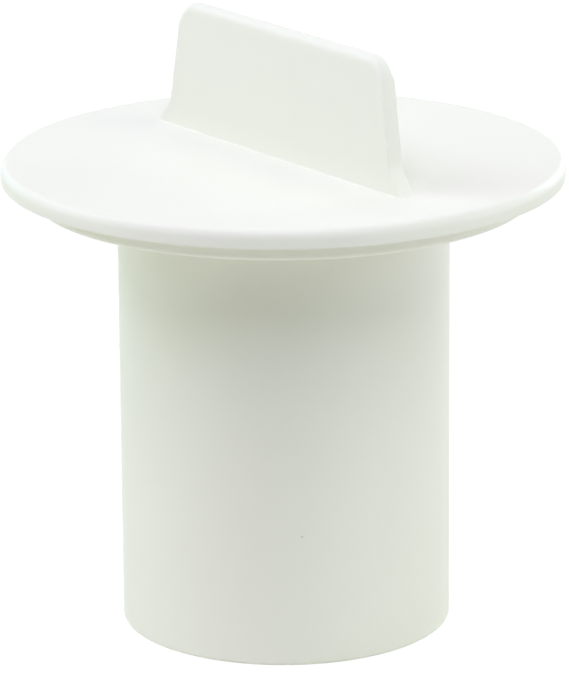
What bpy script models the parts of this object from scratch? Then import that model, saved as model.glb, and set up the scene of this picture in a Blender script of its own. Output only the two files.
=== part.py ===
"""Standpipe cap: a round flange with a finger blade on top and a plug tube below, moulded in one piece.

Metres, +Z up. The tube's open end stands on Z = 0, the axis of the turned shape is Z, and the blade runs
along X. The flange, ring and tube are one turned profile. The blade is lofted up from its foot on the
flange's top face, and the top face is filled between that foot and the flange's rim.
"""

import math

import bmesh
import bpy

# Tube, which plugs the pipe
TUBE_DIAMETER = 0.0520
TUBE_LENGTH = 0.0720
TUBE_WALL = 0.0026
TUBE_ROOT_RADIUS = 0.0006
MOUTH_EDGE_RADIUS = 0.0005

# Bore of the tube, closed by the flange and wider at its mouth so that the mould's core pulls out
BORE_DRAFT = math.radians(0.4)
BORE_END_RADIUS = 0.0015

# Flange
FLANGE_DIAMETER = 0.0880
FLANGE_THICKNESS = 0.0029
FLANGE_TOP_EDGE_RADIUS = 0.0013
FLANGE_LOWER_EDGE_RADIUS = 0.0004

# Ring under the flange, which hangs around the rim of the pipe
RING_DIAMETER = 0.0788
RING_HEIGHT = 0.0031
RING_WALL = 0.0025
RING_ROOT_RADIUS = 0.0003
RING_EDGE_RADIUS = 0.0006

# Finger blade
BLADE_LENGTH = 0.0580
BLADE_HEIGHT = 0.0204
BLADE_THICKNESS = 0.0027
BLADE_FACE_DRAFT = math.radians(0.3)
BLADE_END_SLOPE = math.radians(8.4)
BLADE_CORNER_RADIUS = 0.0045
BLADE_EDGE_RADIUS = 0.0010
BLADE_ROOT_RADIUS = 0.00025

# Foot at each end of the blade, a short ramp that spreads the load on the flange
FOOT_HEIGHT = 0.0036
FOOT_REACH = 0.0026
FOOT_BLEND_RADIUS = 0.0030

# Fineness of the round shapes: facets round the axis, how far a facet may stray from a fillet's arc, and
# facets in each quarter round of the blade's edges and root
TURN_STEPS = 96
FACET_ERROR = 0.000015
EDGE_STEPS = 4
SHARP_ANGLE = math.radians(35)

# Share of the blade's half thickness that the rounding of its edges may take, so that a flat stays between
LARGEST_EDGE_SHARE = 0.9

# Plastic
PLASTIC_COLOUR = (0.84, 0.86, 0.78, 1.0)
PLASTIC_ROUGHNESS = 0.42


def clear_scene():
    for item in list(bpy.data.objects):
        bpy.data.objects.remove(item, do_unlink=True)


def arc_at_corner(before, corner, after, radius):
    """Points of the arc that rounds one corner of a path, tangent to both of its sides."""
    in_x, in_z = before[0] - corner[0], before[1] - corner[1]
    out_x, out_z = after[0] - corner[0], after[1] - corner[1]
    in_length = math.hypot(in_x, in_z)
    out_length = math.hypot(out_x, out_z)
    in_x, in_z = in_x / in_length, in_z / in_length
    out_x, out_z = out_x / out_length, out_z / out_length
    half_angle = math.acos(in_x * out_x + in_z * out_z) / 2
    reach = radius / math.tan(half_angle)
    centre_distance = radius / math.sin(half_angle)
    middle_x, middle_z = in_x + out_x, in_z + out_z
    middle_length = math.hypot(middle_x, middle_z)
    centre_x = corner[0] + middle_x / middle_length * centre_distance
    centre_z = corner[1] + middle_z / middle_length * centre_distance
    start = math.atan2(corner[1] + in_z * reach - centre_z, corner[0] + in_x * reach - centre_x)
    turn = math.pi - 2 * half_angle
    if in_x * out_z - in_z * out_x > 0:
        turn = -turn
    widest_step = 2 * math.acos(1 - min(FACET_ERROR / radius, 0.5))
    steps = max(2, math.ceil(abs(turn) / widest_step))
    points = []
    for step in range(steps + 1):
        angle = start + turn * step / steps
        points.append((centre_x + radius * math.cos(angle), centre_z + radius * math.sin(angle)))
    return points


def rounded_path(corners):
    """Open path through (x, z, radius) corners, with an arc in place of each corner that has a radius."""
    path = []
    for index, (x, z, radius) in enumerate(corners):
        if radius > 0:
            path += arc_at_corner(corners[index - 1][:2], (x, z), corners[index + 1][:2], radius)
        else:
            path.append((x, z))
    return path


def turned_profile():
    """Half section from the flange's top face, down the outside and up the bore to the axis."""
    flange_radius = FLANGE_DIAMETER / 2
    ring_radius = RING_DIAMETER / 2
    ring_inside = ring_radius - RING_WALL
    tube_radius = TUBE_DIAMETER / 2
    seat = TUBE_LENGTH
    top = seat + FLANGE_THICKNESS
    ring_foot = seat - RING_HEIGHT
    mouth_radius = tube_radius - TUBE_WALL
    end_radius = mouth_radius - seat * math.tan(BORE_DRAFT)
    corners = [
        (0, top, 0),
        (flange_radius, top, FLANGE_TOP_EDGE_RADIUS),
        (flange_radius, seat, FLANGE_LOWER_EDGE_RADIUS),
        (ring_radius, seat, RING_ROOT_RADIUS),
        (ring_radius, ring_foot, RING_EDGE_RADIUS),
        (ring_inside, ring_foot, RING_EDGE_RADIUS),
        (ring_inside, seat, RING_ROOT_RADIUS),
        (tube_radius, seat, TUBE_ROOT_RADIUS),
        (tube_radius, 0, MOUTH_EDGE_RADIUS),
        (mouth_radius, 0, MOUTH_EDGE_RADIUS),
        (end_radius, seat, BORE_END_RADIUS),
        (0, seat, 0),
    ]
    return rounded_path(corners)[1:]


def foot_angle():
    """Slope of the foot's ramp, from the flange's top face."""
    lean = FOOT_HEIGHT * math.tan(BLADE_END_SLOPE)
    return math.atan2(FOOT_HEIGHT, FOOT_REACH + lean)


def blade_path():
    """Half outline of the blade in its own plane, from the flange's rim in to the foot, up and over to the middle.

    The foot's ramp has a point at each step of the root's rounding, so that the blade's faces round there too.
    """
    half_length = BLADE_LENGTH / 2
    lean = math.tan(BLADE_END_SLOPE)
    ramp_foot = half_length + FOOT_REACH
    ramp_angle = foot_angle()
    root_points = []
    for step in range(EDGE_STEPS + 1):
        turn = math.pi / 2 * step / EDGE_STEPS
        height = BLADE_ROOT_RADIUS * (1 - math.cos(turn))
        if turn > ramp_angle:
            root_points.append((ramp_foot - height / math.tan(ramp_angle), height, 0))
    corners = [
        (FLANGE_DIAMETER / 2, 0, 0),
        (ramp_foot, 0, BLADE_ROOT_RADIUS),
        *root_points,
        (half_length - FOOT_HEIGHT * lean, FOOT_HEIGHT, FOOT_BLEND_RADIUS),
        (half_length - BLADE_HEIGHT * lean, BLADE_HEIGHT, BLADE_CORNER_RADIUS),
        (0, BLADE_HEIGHT, 0),
    ]
    return rounded_path(corners)


def inward(before, height, after):
    """Direction in which the blade's edge is rounded off, at a point of its outline between two others.

    In the lower half it runs level, so that the rounding meets the flange, and it is longer there to keep its
    radius across the sloping foot. In the upper half it is square to the outline and turns round the corner.
    """
    along_x, along_z = after[0] - before[0], after[1] - before[1]
    length = math.hypot(along_x, along_z)
    if height < BLADE_HEIGHT / 2:
        return -1 / max(along_z / length, math.sin(foot_angle())), 0
    return -along_z / length, along_x / length


def root_spread(height):
    """How far the rounded root stands out from the blade's faces, at a height above the flange."""
    height = min(max(height, 0.0), BLADE_ROOT_RADIUS)
    return BLADE_ROOT_RADIUS - math.sqrt(height * (2 * BLADE_ROOT_RADIUS - height))


def section_loop(mesh, x, height, direction):
    """One level of the blade: a slim ring of vertices, rounded from each end's outline on to the two faces."""
    flange_top = TUBE_LENGTH + FLANGE_THICKNESS
    slimmest = BLADE_THICKNESS / 2 - BLADE_HEIGHT * math.tan(BLADE_FACE_DRAFT)
    edge = min(BLADE_EDGE_RADIUS, slimmest * LARGEST_EDGE_SHARE)
    spread = root_spread(height)
    loop = []
    for quarter, (side_x, side_y) in enumerate(((1, 1), (-1, 1), (-1, -1), (1, -1))):
        for step in range(EDGE_STEPS + 1):
            turn = math.pi / 2 * (quarter % 2 + step / EDGE_STEPS)
            inset = 1 - abs(math.cos(turn))
            fall = 1 - abs(math.sin(turn))
            z = height + edge * inset * direction[1]
            half_thickness = BLADE_THICKNESS / 2 - z * math.tan(BLADE_FACE_DRAFT) + spread
            place_x = side_x * (x + inset * (edge * direction[0] - spread))
            place_y = side_y * (half_thickness - fall * (edge + spread))
            loop.append(mesh.verts.new((place_x, place_y, flange_top + z)))
    return loop


def skin_between(mesh, lower, upper):
    count = len(lower)
    for index in range(count):
        following = (index + 1) % count
        mesh.faces.new((lower[index], lower[following], upper[following], upper[index]))


def add_turned_body(mesh):
    """Spins the profile about Z and returns the edges of the hole that it leaves in the top face."""
    vertices = [mesh.verts.new((x, 0, z)) for x, z in turned_profile()]
    edges = [mesh.edges.new(pair) for pair in zip(vertices, vertices[1:])]
    bmesh.ops.spin(
        mesh,
        geom=vertices + edges,
        cent=(0, 0, 0),
        axis=(0, 0, 1),
        angle=math.tau,
        steps=TURN_STEPS,
        use_merge=True,
    )
    bmesh.ops.remove_doubles(mesh, verts=mesh.verts, dist=1e-6)
    return [edge for edge in mesh.edges if edge.is_boundary]


def close_top(mesh, loop):
    """Joins the two ends of the blade's last level across its top edge."""
    quarter = EDGE_STEPS + 1
    right = loop[3 * quarter:] + loop[:quarter]
    left = loop[quarter:3 * quarter][::-1]
    for index in range(len(right) - 1):
        mesh.faces.new((right[index], right[index + 1], left[index + 1], left[index]))


def add_blade(mesh):
    """Lofts the blade up from the flange's top face and returns the edges of its foot."""
    path = blade_path()
    loops = []
    for before, (x, height), after in zip(path, path[1:], path[2:]):
        loops.append(section_loop(mesh, x, height, inward(before, height, after)))
    for lower, upper in zip(loops, loops[1:]):
        skin_between(mesh, lower, upper)
    close_top(mesh, loops[-1])
    foot = loops[0]
    return [mesh.edges.get((foot[index - 1], foot[index])) for index in range(len(foot))]


def plastic():
    material = bpy.data.materials.new("white_plastic")
    material.use_nodes = True
    shader = material.node_tree.nodes["Principled BSDF"]
    shader.inputs["Base Color"].default_value = PLASTIC_COLOUR
    shader.inputs["Roughness"].default_value = PLASTIC_ROUGHNESS
    shader.inputs["Metallic"].default_value = 0.0
    return material


def make_cap():
    mesh = bmesh.new()
    rim_edges = add_turned_body(mesh)
    foot_edges = add_blade(mesh)
    bmesh.ops.triangle_fill(mesh, edges=rim_edges + foot_edges, use_beauty=True)
    bmesh.ops.recalc_face_normals(mesh, faces=mesh.faces)
    data = bpy.data.meshes.new("standpipe_cap")
    mesh.to_mesh(data)
    mesh.free()
    data.materials.append(plastic())
    data.shade_smooth()
    data.set_sharp_from_angle(angle=SHARP_ANGLE)
    cap = bpy.data.objects.new("standpipe_cap", data)
    bpy.context.scene.collection.objects.link(cap)
    return cap


clear_scene()
make_cap()
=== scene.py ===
"""Standpipe cap in white moulded plastic: the finished surface, the studio round it and the camera.

Metres, +Z up, the tube's open end on Z = 0. The cap is one moulding, so it is one piece here too. Its round
body is turned by Geometry Nodes from a half section, and the finger blade is lofted up from the flange.
"""

import math

import bmesh
import bpy
from mathutils import Matrix, Vector


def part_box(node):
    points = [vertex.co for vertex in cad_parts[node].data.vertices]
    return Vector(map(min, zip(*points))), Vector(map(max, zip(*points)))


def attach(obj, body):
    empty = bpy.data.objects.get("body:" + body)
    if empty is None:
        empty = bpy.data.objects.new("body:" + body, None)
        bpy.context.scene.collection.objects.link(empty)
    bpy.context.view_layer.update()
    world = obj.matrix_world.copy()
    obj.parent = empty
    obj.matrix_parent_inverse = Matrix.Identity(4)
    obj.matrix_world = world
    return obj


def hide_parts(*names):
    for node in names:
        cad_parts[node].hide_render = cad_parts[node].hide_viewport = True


MM = 0.001

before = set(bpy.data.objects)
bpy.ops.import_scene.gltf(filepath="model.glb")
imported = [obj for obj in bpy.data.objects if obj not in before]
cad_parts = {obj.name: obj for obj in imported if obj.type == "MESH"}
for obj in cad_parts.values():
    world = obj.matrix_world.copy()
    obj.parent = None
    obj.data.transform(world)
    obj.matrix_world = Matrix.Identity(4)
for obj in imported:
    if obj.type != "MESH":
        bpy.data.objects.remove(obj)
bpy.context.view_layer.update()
cap_low, cap_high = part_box("standpipe_cap")

# Flange, ring and tube. The flange's width and the cap's height come from the frame. The flange's top edge
# is rounded in two arcs, a tight one off the top face and a slack one down the side.
FLANGE_RADIUS = (cap_high.x - cap_low.x) / 2
FLANGE_THICKNESS = 2.9 * MM
FLANGE_EDGE_WIDTH = 0.6 * MM
FLANGE_EDGE_DEPTH = 0.95 * MM
FLANGE_EDGE_TOP_RADIUS = 0.9 * MM
FLANGE_EDGE_SIDE_RADIUS = 2.1 * MM
FLANGE_LOWER_EDGE_RADIUS = 0.15 * MM
RING_RADIUS = 39.4 * MM
RING_HEIGHT = 3.1 * MM
RING_WALL = 2.5 * MM
RING_ROOT_RADIUS = 0.3 * MM
RING_EDGE_RADIUS = 0.9 * MM
TUBE_RADIUS = 26.0 * MM
TUBE_WALL = 2.6 * MM
TUBE_ROOT_RADIUS = 0.6 * MM
MOUTH_EDGE_RADIUS = 0.5 * MM
BORE_DRAFT = math.radians(0.4)
BORE_END_RADIUS = 1.5 * MM

# Finger blade and the short ramp at each of its ends. The lean is a slight warp that the photograph shows.
# The blade's edges are crisp up its ends and grow as they turn the corners on to the top. The growth is the
# power that shares out this change, and one below 1 makes the edge wide early in the turn.
BLADE_LENGTH = 58.0 * MM
BLADE_HEIGHT = 20.4 * MM
BLADE_THICKNESS = 2.7 * MM
BLADE_FACE_DRAFT = math.radians(0.3)
BLADE_END_SLOPE = math.radians(9.3)
BLADE_LEAN = math.radians(1.2)
BLADE_CORNER_RADIUS = 3.8 * MM
BLADE_TOP_EDGE_WIDTH = 0.8 * MM
BLADE_TOP_EDGE_DEPTH = 1.3 * MM
BLADE_END_EDGE_RADIUS = 0.05 * MM
BLADE_EDGE_GROWTH = 0.4
BLADE_ROOT_RADIUS = 0.05 * MM
FOOT_HEIGHT = 3.6 * MM
FOOT_REACH = 2.6 * MM
FOOT_BLEND_RADIUS = 3.0 * MM

FLANGE_TOP = cap_high.z - BLADE_HEIGHT
SEAT = FLANGE_TOP - FLANGE_THICKNESS

# Fineness of the mesh. A narrow flat strip runs beside each rounding, so that the wide flats shade as flat.
TURN_STEPS = 288
ARC_STEPS = 6
EDGE_STEPS = 7
CORNER_STEPS = 12
STRIP = 0.35 * MM
WELD = 0.001 * MM

# Plastic. The mottle is the slow change of tint where the melt flowed, and the grain is the mould's own fine
# texture. The real grain is a few hundredths of a millimetre, too fine to show in the render, so it is drawn
# as coarse as it needs to show.
MOTTLE_SIZE = 14.0 * MM
GRAIN_SIZE = 0.3 * MM
GRAIN_DEPTH = 0.004 * MM
GRAIN_BUMP_STRENGTH = 0.5
LEAST_ROUGHNESS = 0.40
MOST_ROUGHNESS = 0.50
POLYPROPYLENE_IOR = 1.49

# The one dark speck in the plastic, low on the tube: faint, and half a millimetre across
SPECK_PLACE = (22.25 * MM, -13.45 * MM, 21.08 * MM)
SPECK_RADIUS = 0.25 * MM

# Floor. It lies a hair under the tube's end, so that the two faces don't share a plane.
FLOOR_RADIUS = 3.0
FLOOR_SEGMENTS = 64
FLOOR_DROP = 0.02 * MM
FLOOR_GLOW = 0.93

# Camera. Its distance and height are in flange radii from the middle of the flange's top face, its pitch and
# roll in radians, its focal length in pixels of the picture and its sensor's width in millimetres.
CAMERA_AZIMUTH = math.radians(53.4)
CAMERA_DISTANCE = 17.0
CAMERA_HEIGHT = 4.387
CAMERA_PITCH = 0.2892
CAMERA_ROLL = -0.0075
CAMERA_FOCAL = 4953.0
PICTURE_LONG_SIDE = 676
SENSOR_WIDTH = 36.0

# Soft boxes: degrees round from the camera, degrees up, width and height in metres, watts and colour. Their
# strengths and slight tints together give the plastic the shades of the photograph.
LAMP_DISTANCE = 0.9
LAMPS = {
    "top_front": (0, 55, 0.5, 0.5, 4.43, "#e8e6ff"),
    "top_left": (-75, 55, 0.5, 0.5, 2.10, "#fde3ff"),
    "top_right": (75, 55, 0.5, 0.5, 1.60, "#f8ffda"),
    "top_back": (180, 55, 0.5, 0.5, 1.18, "#efe8ff"),
    "mid_front_right": (50, 33, 0.4, 0.4, 0.53, "#d7ffee"),
    "mid_left": (-100, 33, 0.4, 0.4, 1.98, "#d3f3ff"),
    "left": (-90, 12, 0.5, 0.4, 1.22, "#fbffe0"),
    "right": (90, 12, 0.5, 0.4, 2.12, "#ede9ff"),
    "back_left": (-140, 12, 0.5, 0.4, 0.77, "#caedff"),
    "back_right": (140, 12, 0.5, 0.4, 2.34, "#e7efff"),
}

# Places of the Mix node's colour sockets, which share their names with its sockets for other kinds of data
MIX_COLOUR_A = 6
MIX_COLOUR_B = 7
MIX_COLOUR_RESULT = 2


def linear(code):
    """Linear red, green and blue of an sRGB hex colour, with a full alpha."""
    channels = [int(code[place:place + 2], 16) / 255 for place in (1, 3, 5)]
    # These numbers are those of the sRGB curve
    curved = [value / 12.92 if value <= 0.04045 else ((value + 0.055) / 1.055) ** 2.4 for value in channels]
    return (*curved, 1.0)


def add_node(tree, kind, settings=None, links=None):
    """Adds a node. A setting is a property if the node has one of that name, and otherwise an input.

    Inputs that share a name are given by their place instead.
    """
    node = tree.nodes.new(kind)
    for name, value in (settings or {}).items():
        if isinstance(name, str) and hasattr(node, name):
            setattr(node, name, value)
        else:
            node.inputs[name].default_value = value
    for name, source in (links or {}).items():
        tree.links.new(source, node.inputs[name])
    return node


def arc_points(before, corner, after, radius, steps):
    """Points of the arc that rounds one corner of a path, tangent to both of its sides."""
    corner = Vector(corner)
    to_before = (Vector(before) - corner).normalized()
    to_after = (Vector(after) - corner).normalized()
    half_angle = to_before.angle(to_after) / 2
    centre = corner + (to_before + to_after).normalized() * radius / math.sin(half_angle)
    start = corner + to_before * radius / math.tan(half_angle) - centre
    turn = math.pi - 2 * half_angle
    if to_before.x * to_after.y - to_before.y * to_after.x > 0:
        turn = -turn
    return [centre + Matrix.Rotation(turn * step / steps, 2) @ start for step in range(steps + 1)]


def half_section():
    """Corners of the turned body, as radius, height and rounding, down the outside and up the bore."""
    ring_inside = RING_RADIUS - RING_WALL
    ring_foot = SEAT - RING_HEIGHT
    mouth_radius = TUBE_RADIUS - TUBE_WALL
    bore_end = mouth_radius - SEAT * math.tan(BORE_DRAFT)
    return [
        (FLANGE_RADIUS - FLANGE_EDGE_WIDTH - FLANGE_EDGE_TOP_RADIUS - STRIP, FLANGE_TOP, 0),
        (FLANGE_RADIUS - FLANGE_EDGE_WIDTH, FLANGE_TOP, FLANGE_EDGE_TOP_RADIUS),
        (FLANGE_RADIUS, FLANGE_TOP - FLANGE_EDGE_DEPTH, FLANGE_EDGE_SIDE_RADIUS),
        (FLANGE_RADIUS, SEAT, FLANGE_LOWER_EDGE_RADIUS),
        (RING_RADIUS, SEAT, RING_ROOT_RADIUS),
        (RING_RADIUS, ring_foot, RING_EDGE_RADIUS),
        (ring_inside, ring_foot, RING_EDGE_RADIUS),
        (ring_inside, SEAT, RING_ROOT_RADIUS),
        (TUBE_RADIUS, SEAT, TUBE_ROOT_RADIUS),
        (TUBE_RADIUS, 0, MOUTH_EDGE_RADIUS),
        (mouth_radius, 0, MOUTH_EDGE_RADIUS),
        (bore_end, SEAT, BORE_END_RADIUS),
        (0, SEAT, 0),
    ]


def with_strips(corners):
    """Adds a point on each side of a corner, a strip's width beyond its rounding, where there is room."""
    points = [corners[0]]
    for before, corner, after in zip(corners, corners[1:], corners[2:]):
        here = Vector(corner[:2])
        for neighbour in (before, after):
            way = Vector(neighbour[:2]) - here
            reach = corner[2] + STRIP
            if way.length > reach + neighbour[2] + STRIP:
                points.append((*(here + way.normalized() * reach), 0))
            if neighbour is before:
                points.append(corner)
    points.append(corners[-1])
    return points


def section_line(corners):
    """The half section as a line of edges, whose points carry how far each corner is rounded."""
    mesh = bpy.data.meshes.new("half_section")
    line = [(index, index + 1) for index in range(len(corners) - 1)]
    mesh.from_pydata([(radius, height, 0) for radius, height, _ in corners], line, [])
    rounding = mesh.attributes.new("rounding", "FLOAT", "POINT")
    rounding.data.foreach_set("value", [corner[2] for corner in corners])
    obj = bpy.data.objects.new("half_section", mesh)
    bpy.context.scene.collection.objects.link(obj)
    return obj


def turning_tree():
    """Geometry Nodes that round a half section's corners, turn it about Z and weld it on the axis."""
    tree = bpy.data.node_groups.new("turned_body", "GeometryNodeTree")
    sockets = tree.interface
    sockets.new_socket("Section", in_out="INPUT", socket_type="NodeSocketGeometry")
    sockets.new_socket("Facets Round", in_out="INPUT", socket_type="NodeSocketInt")
    sockets.new_socket("Facets Per Rounding", in_out="INPUT", socket_type="NodeSocketInt")
    sockets.new_socket("Path Radius", in_out="INPUT", socket_type="NodeSocketFloat")
    sockets.new_socket("Weld Distance", in_out="INPUT", socket_type="NodeSocketFloat")
    sockets.new_socket("Plastic", in_out="INPUT", socket_type="NodeSocketMaterial")
    sockets.new_socket("Body", in_out="OUTPUT", socket_type="NodeSocketGeometry")
    given = tree.nodes.new("NodeGroupInput").outputs

    line = add_node(tree, "GeometryNodeMeshToCurve", None, {"Mesh": given["Section"]})
    rounding = add_node(tree, "GeometryNodeInputNamedAttribute", {"data_type": "FLOAT", "Name": "rounding"})
    rounded = add_node(tree, "GeometryNodeFilletCurve", {"mode": "POLY", "Limit Radius": False}, {
        "Curve": line.outputs["Curve"],
        "Radius": rounding.outputs["Attribute"],
        "Count": given["Facets Per Rounding"],
    })
    # The sweep lays the section's own origin on the path and its second axis downwards
    inwards = add_node(tree, "ShaderNodeMath", {"operation": "MULTIPLY", 1: -1.0}, {0: given["Path Radius"]})
    offset = add_node(tree, "ShaderNodeCombineXYZ", None, {"X": inwards.outputs["Value"]})
    laid = add_node(tree, "GeometryNodeTransform", {"Scale": (1, -1, 1)}, {
        "Geometry": rounded.outputs["Curve"],
        "Translation": offset.outputs["Vector"],
    })
    path = add_node(tree, "GeometryNodeCurvePrimitiveCircle", None, {
        "Resolution": given["Facets Round"],
        "Radius": given["Path Radius"],
    })
    swept = add_node(tree, "GeometryNodeCurveToMesh", None, {
        "Curve": path.outputs["Curve"],
        "Profile Curve": laid.outputs["Geometry"],
    })
    welded = add_node(tree, "GeometryNodeMergeByDistance", None, {
        "Geometry": swept.outputs["Mesh"],
        "Distance": given["Weld Distance"],
    })
    real = add_node(tree, "GeometryNodeRealizeInstances", None, {"Geometry": welded.outputs["Geometry"]})
    dressed = add_node(tree, "GeometryNodeSetMaterial", None, {
        "Geometry": real.outputs["Geometry"],
        "Material": given["Plastic"],
    })
    add_node(tree, "NodeGroupOutput", None, {"Body": dressed.outputs["Geometry"]})
    return tree


def turned_body(plastic):
    """The flange, ring and tube as a plain mesh, open only where the flange's flat top face comes."""
    line = section_line(with_strips(half_section()))
    tree = turning_tree()
    turning = line.modifiers.new("turned_body", "NODES")
    turning.node_group = tree
    inputs = {
        "Facets Round": TURN_STEPS,
        "Facets Per Rounding": ARC_STEPS,
        "Path Radius": FLANGE_RADIUS,
        "Weld Distance": WELD,
        "Plastic": plastic,
    }
    for name, value in inputs.items():
        turning[tree.interface.items_tree[name].identifier] = value
    shown = line.evaluated_get(bpy.context.evaluated_depsgraph_get())
    mesh = bpy.data.meshes.new_from_object(shown)
    bpy.data.objects.remove(line)
    return mesh


def foot_angle():
    """Slope of the foot's ramp, from the flange's top face."""
    return math.atan2(FOOT_HEIGHT, FOOT_REACH + FOOT_HEIGHT * math.tan(BLADE_END_SLOPE))


def blade_outline():
    """Half outline of the blade in its own plane, from the flange up its end and over to the middle."""
    half_length = BLADE_LENGTH / 2
    slope = math.tan(BLADE_END_SLOPE)
    up_ramp = Vector((-1 / math.tan(foot_angle()), 1))
    ramp_foot = Vector((half_length + FOOT_REACH, 0))
    out_on_flange = ramp_foot + Vector((BLADE_LENGTH, 0))
    foot = Vector((half_length - FOOT_HEIGHT * slope, FOOT_HEIGHT))
    corner = Vector((half_length - BLADE_HEIGHT * slope, BLADE_HEIGHT))
    middle = Vector((0, BLADE_HEIGHT))
    up_end = (corner - foot).normalized()
    outline = [out_on_flange]
    outline += arc_points(out_on_flange, ramp_foot, foot, BLADE_ROOT_RADIUS, ARC_STEPS)
    # The faces round into the flange over the root's whole height, so the ramp has points up to there
    for step in range(1, ARC_STEPS + 1):
        height = BLADE_ROOT_RADIUS * (1 - math.cos(math.pi / 2 * step / ARC_STEPS))
        if height > outline[-1].y + WELD:
            outline.append(ramp_foot + up_ramp * height)
    outline.append(ramp_foot + up_ramp * (BLADE_ROOT_RADIUS + STRIP))
    outline += arc_points(ramp_foot, foot, corner, FOOT_BLEND_RADIUS, ARC_STEPS)
    outline.append(outline[-1] + up_end * STRIP)
    rounded_corner = arc_points(foot, corner, middle, BLADE_CORNER_RADIUS, CORNER_STEPS)
    outline.append(rounded_corner[0] - up_end * STRIP)
    outline += rounded_corner
    outline.append(middle)
    return outline


def inward(before, point, after):
    """Direction in which the blade's edge is rounded off at a point of its outline.

    In the lower half it is horizontal, so that the lowest level lies flat on the flange, and it is longer
    there to keep its radius across the sloping foot. In the upper half it is square to the outline and turns
    round the corner.
    """
    along = (after - before).normalized()
    if point.y < BLADE_HEIGHT / 2:
        return Vector((-1 / max(along.y, math.sin(foot_angle())), 0))
    return Vector((-along.y, along.x))


def root_spread(height):
    """How far the rounded root stands out from the blade's faces, at a height above the flange."""
    height = min(max(height, 0.0), BLADE_ROOT_RADIUS)
    return BLADE_ROOT_RADIUS - math.sqrt(height * (2 * BLADE_ROOT_RADIUS - height))


def edge_size(direction):
    """Width and depth of the blade's rounded edge, crisp up the ends and soon wide round a corner."""
    end_slope = math.sin(BLADE_END_SLOPE)
    share = max(0.0, (abs(direction.y) - end_slope) / (1 - end_slope)) ** BLADE_EDGE_GROWTH
    width = BLADE_END_EDGE_RADIUS + (BLADE_TOP_EDGE_WIDTH - BLADE_END_EDGE_RADIUS) * share
    depth = BLADE_END_EDGE_RADIUS + (BLADE_TOP_EDGE_DEPTH - BLADE_END_EDGE_RADIUS) * share
    return width, depth


def blade_level(mesh, point, direction, widening=0.0):
    """One level of the blade: a slim ring of vertices, rounded from each end's outline to the faces."""
    spread = root_spread(point.y) + widening
    width, depth = edge_size(direction)
    turns = [math.pi / 2 * step / EDGE_STEPS for step in range(EDGE_STEPS + 1)]
    rounding = [(1 - math.cos(turn), 1 - math.sin(turn)) for turn in turns]
    rounding.append((1 + STRIP / depth, 0.0))
    level = []
    for side_x, side_y in ((1, 1), (-1, 1), (-1, -1), (1, -1)):
        quarter = rounding if side_x == side_y else rounding[::-1]
        for inset, fall in quarter:
            z = point.y + depth * inset * direction.y
            half_thickness = BLADE_THICKNESS / 2 - z * math.tan(BLADE_FACE_DRAFT) + spread
            x = point.x + widening + inset * depth * direction.x - min(inset, 1.0) * spread
            y = half_thickness - fall * (width + spread)
            level.append(mesh.verts.new((side_x * x, side_y * y + z * math.tan(BLADE_LEAN), FLANGE_TOP + z)))
    return level


def add_blade(mesh):
    """Lofts the blade up from the flange's top face and returns the edges round its foot."""
    outline = blade_outline()
    levels = []
    for before, point, after in zip(outline, outline[1:], outline[2:]):
        direction = inward(before, point, after)
        # A first ring, a strip's width outside the foot, lies on the flange's top face
        if not levels:
            levels.append(blade_level(mesh, point, direction, STRIP))
        levels.append(blade_level(mesh, point, direction))
    for lower, upper in zip(levels, levels[1:]):
        for index in range(len(lower)):
            mesh.faces.new((lower[index - 1], lower[index], upper[index], upper[index - 1]))
    # Between the two corners, the top and its rounded edges are long faces from one end to the other
    half = len(levels[-1]) // 2
    quarter = half // 2
    right = levels[-1][half + quarter:] + levels[-1][:quarter]
    left = levels[-1][quarter:half + quarter][::-1]
    for index in range(half - 1):
        mesh.faces.new((right[index], right[index + 1], left[index + 1], left[index]))
    foot = levels[0]
    return [mesh.edges.get((foot[index - 1], foot[index])) for index in range(len(foot))]


def moulded_cap(plastic):
    """The whole cap as one closed mesh: the turned body, the blade and the flat top face between them."""
    data = turned_body(plastic)
    mesh = bmesh.new()
    mesh.from_mesh(data)
    rim_edges = [edge for edge in mesh.edges if edge.is_boundary]
    foot_edges = add_blade(mesh)
    bmesh.ops.triangle_fill(mesh, edges=rim_edges + foot_edges, use_beauty=True)
    bmesh.ops.recalc_face_normals(mesh, faces=mesh.faces)
    for face in mesh.faces:
        face.smooth = True
    mesh.to_mesh(data)
    mesh.free()
    data.name = "moulded_cap"
    cap = bpy.data.objects.new("moulded_cap", data)
    bpy.context.scene.collection.objects.link(cap)
    return cap


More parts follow.
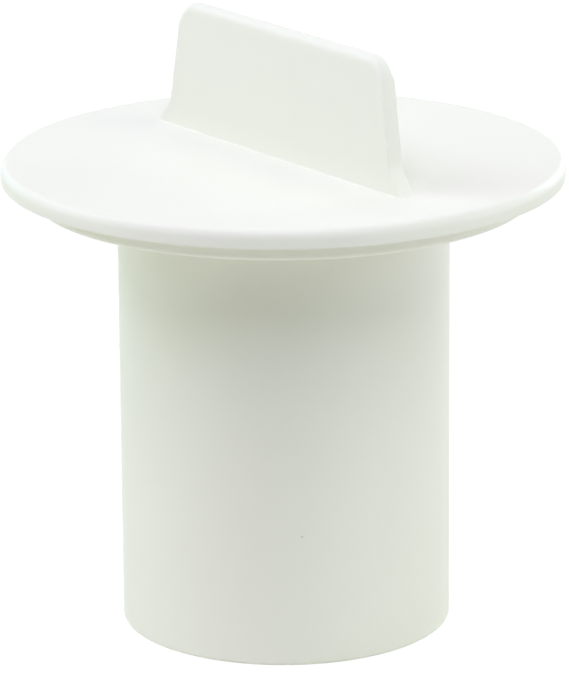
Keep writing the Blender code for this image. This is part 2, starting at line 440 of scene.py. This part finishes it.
def injection_moulded_polypropylene():
    """White polypropylene from an injection mould.

    To the eye that is a soft satin white with a faint yellow-green cast. Its tint drifts a little where the
    melt flowed, and the mould's fine texture blurs what it mirrors.
    """
    material = bpy.data.materials.new("injection_moulded_polypropylene")
    material.use_nodes = True
    tree = material.node_tree
    tree.nodes.clear()
    place = add_node(tree, "ShaderNodeTexCoord").outputs["Object"]
    mottle = add_node(tree, "ShaderNodeTexNoise", {"Scale": 1 / MOTTLE_SIZE, "Detail": 3.0}, {
        "Vector": place,
    })
    colour = add_node(tree, "ShaderNodeMix", {
        "data_type": "RGBA",
        MIX_COLOUR_A: linear("#eef0e1"),
        MIX_COLOUR_B: linear("#f0f2e4"),
    }, {"Factor": mottle.outputs["Fac"]})
    to_speck = add_node(tree, "ShaderNodeVectorMath", {"operation": "DISTANCE", 1: SPECK_PLACE}, {0: place})
    speck = add_node(tree, "ShaderNodeMapRange", {"From Max": SPECK_RADIUS, "To Min": 1.0, "To Max": 0.0}, {
        "Value": to_speck.outputs["Value"],
    })
    specked = add_node(tree, "ShaderNodeMix", {"data_type": "RGBA", MIX_COLOUR_B: linear("#c4c5b4")}, {
        "Factor": speck.outputs["Result"],
        MIX_COLOUR_A: colour.outputs[MIX_COLOUR_RESULT],
    })
    grain = add_node(tree, "ShaderNodeTexNoise", {"Scale": 1 / GRAIN_SIZE, "Detail": 2.0}, {
        "Vector": place,
    })
    roughness = add_node(tree, "ShaderNodeMapRange", {
        "To Min": LEAST_ROUGHNESS,
        "To Max": MOST_ROUGHNESS,
    }, {"Value": grain.outputs["Fac"]})
    bump = add_node(tree, "ShaderNodeBump", {
        "Strength": GRAIN_BUMP_STRENGTH,
        "Distance": GRAIN_DEPTH,
    }, {"Height": grain.outputs["Fac"]})
    shader = add_node(tree, "ShaderNodeBsdfPrincipled", {"IOR": POLYPROPYLENE_IOR}, {
        "Base Color": specked.outputs[MIX_COLOUR_RESULT],
        "Roughness": roughness.outputs["Result"],
        "Normal": bump.outputs["Normal"],
    })
    add_node(tree, "ShaderNodeOutputMaterial", None, {"Surface": shader.outputs["BSDF"]})
    return material


def seen_directly(tree):
    """One for rays that show a surface itself or its mirror image, and nought for the light it gives."""
    ray = add_node(tree, "ShaderNodeLightPath").outputs
    seen = add_node(tree, "ShaderNodeMath", {"operation": "MAXIMUM"}, {
        0: ray["Is Camera Ray"],
        1: ray["Is Glossy Ray"],
    })
    return add_node(tree, "ShaderNodeMath", {"operation": "MAXIMUM"}, {
        0: seen.outputs["Value"],
        1: ray["Is Transmission Ray"],
    }).outputs["Value"]


def matt_white_paper():
    """White paper off a roll, matt, with no gloss.

    Seen directly it is mostly a white glow, over a dim grey that keeps the cap's soft shadow. What it throws
    back on the cap is the light of plain paper with a faint yellow in it.
    """
    material = bpy.data.materials.new("matt_white_paper")
    material.use_nodes = True
    tree = material.node_tree
    tree.nodes.clear()
    paper = add_node(tree, "ShaderNodeBsdfDiffuse", {"Color": linear("#f0f0e3")})
    shade = add_node(tree, "ShaderNodeBsdfDiffuse", {"Color": linear("#686868")})
    glow = add_node(tree, "ShaderNodeEmission", {"Color": linear("#ffffff"), "Strength": FLOOR_GLOW})
    shown = add_node(tree, "ShaderNodeAddShader", None, {
        0: shade.outputs["BSDF"],
        1: glow.outputs["Emission"],
    })
    surface = add_node(tree, "ShaderNodeMixShader", None, {
        "Fac": seen_directly(tree),
        1: paper.outputs["BSDF"],
        2: shown.outputs["Shader"],
    })
    add_node(tree, "ShaderNodeOutputMaterial", None, {"Surface": surface.outputs["Shader"]})
    return material


def white_floor():
    """A wide round floor that the cap stands on."""
    mesh = bmesh.new()
    bmesh.ops.create_circle(mesh, cap_ends=True, radius=FLOOR_RADIUS, segments=FLOOR_SEGMENTS)
    data = bpy.data.meshes.new("floor")
    mesh.to_mesh(data)
    mesh.free()
    data.materials.append(matt_white_paper())
    floor = bpy.data.objects.new("floor", data)
    floor.location.z = -FLOOR_DROP
    bpy.context.scene.collection.objects.link(floor)


def studio_world():
    """White behind the floor and in the plastic's gloss. The world gives the cap no other light."""
    world = bpy.data.worlds.new("studio")
    bpy.context.scene.world = world
    world.use_nodes = True
    tree = world.node_tree
    tree.nodes.clear()
    white = add_node(tree, "ShaderNodeBackground", {"Color": linear("#ffffff")}, {
        "Strength": seen_directly(tree),
    })
    add_node(tree, "ShaderNodeOutputWorld", None, {"Surface": white.outputs["Background"]})


def direction_to(azimuth, elevation):
    """Unit vector to a place, in degrees round and up. Azimuth 0 is in front, at -Y, and 90 is at +X."""
    turn = math.radians(azimuth)
    rise = math.radians(elevation)
    return Vector((math.sin(turn) * math.cos(rise), -math.cos(turn) * math.cos(rise), math.sin(rise)))


def soft_boxes():
    """The lamps, large and soft, all turned to the middle of the cap and hidden from the camera."""
    centre = Vector((0, 0, (cap_low.z + cap_high.z) / 2))
    for name, (azimuth, elevation, width, height, watts, colour) in LAMPS.items():
        lamp = bpy.data.lights.new(name, "AREA")
        lamp.shape = "RECTANGLE"
        lamp.size = width
        lamp.size_y = height
        lamp.energy = watts
        lamp.color = linear(colour)[:3]
        obj = bpy.data.objects.new(name, lamp)
        way = direction_to(math.degrees(CAMERA_AZIMUTH) + azimuth, elevation)
        obj.location = centre + way * LAMP_DISTANCE
        obj.rotation_euler = way.to_track_quat("Z", "Y").to_euler()
        obj.visible_camera = False
        bpy.context.scene.collection.objects.link(obj)


def camera():
    """The photograph's view, through a long lens from a little above."""
    level = direction_to(math.degrees(CAMERA_AZIMUTH), 0)
    from_flange = level * CAMERA_DISTANCE + Vector((0, 0, CAMERA_HEIGHT))
    eye = from_flange * FLANGE_RADIUS + Vector((0, 0, FLANGE_TOP))
    forward = -level * math.cos(CAMERA_PITCH) - Vector((0, 0, math.sin(CAMERA_PITCH)))
    right = forward.cross(Vector((0, 0, 1))).normalized()
    upright = Matrix((right, right.cross(forward), -forward)).transposed()
    data = bpy.data.cameras.new("camera")
    data.sensor_width = SENSOR_WIDTH
    data.lens = CAMERA_FOCAL / PICTURE_LONG_SIDE * SENSOR_WIDTH
    obj = bpy.data.objects.new("camera", data)
    obj.matrix_world = Matrix.Translation(eye) @ (upright @ Matrix.Rotation(CAMERA_ROLL, 3, "Z")).to_4x4()
    bpy.context.scene.collection.objects.link(obj)
    bpy.context.scene.camera = obj


bpy.context.scene.view_settings.view_transform = "Standard"
camera()
studio_world()
soft_boxes()
white_floor()

cap = moulded_cap(injection_moulded_polypropylene())
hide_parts("standpipe_cap")
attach(cap, "root")
